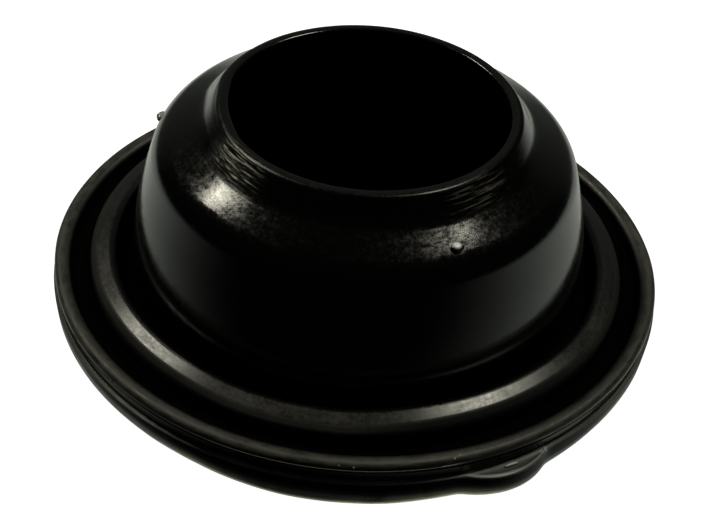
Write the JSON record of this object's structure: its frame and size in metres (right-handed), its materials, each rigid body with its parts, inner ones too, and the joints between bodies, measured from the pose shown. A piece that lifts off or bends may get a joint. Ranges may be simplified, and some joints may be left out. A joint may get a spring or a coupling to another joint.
{
  "type": "diaphragm seal",
  "caption": "Moulded black rubber diaphragm seal: round flange with a bead and a ridge on top, barrelled wall, shoulder, concave neck, open mouth and a small pull tab.",
  "frame": {"origin": "on the seal's axis, level with the flange's flat underside", "axes": "+Z along the axis, out through the mouth; +X through the middle of the pull tab"},
  "size_m": [0.1021, 0.1, 0.0375],
  "materials": {
    "rubber": "satin black, as moulded"
  },
  "bodies": {
    "root": {"diaphragm_seal": "rubber"}
  },
  "joints": []
}
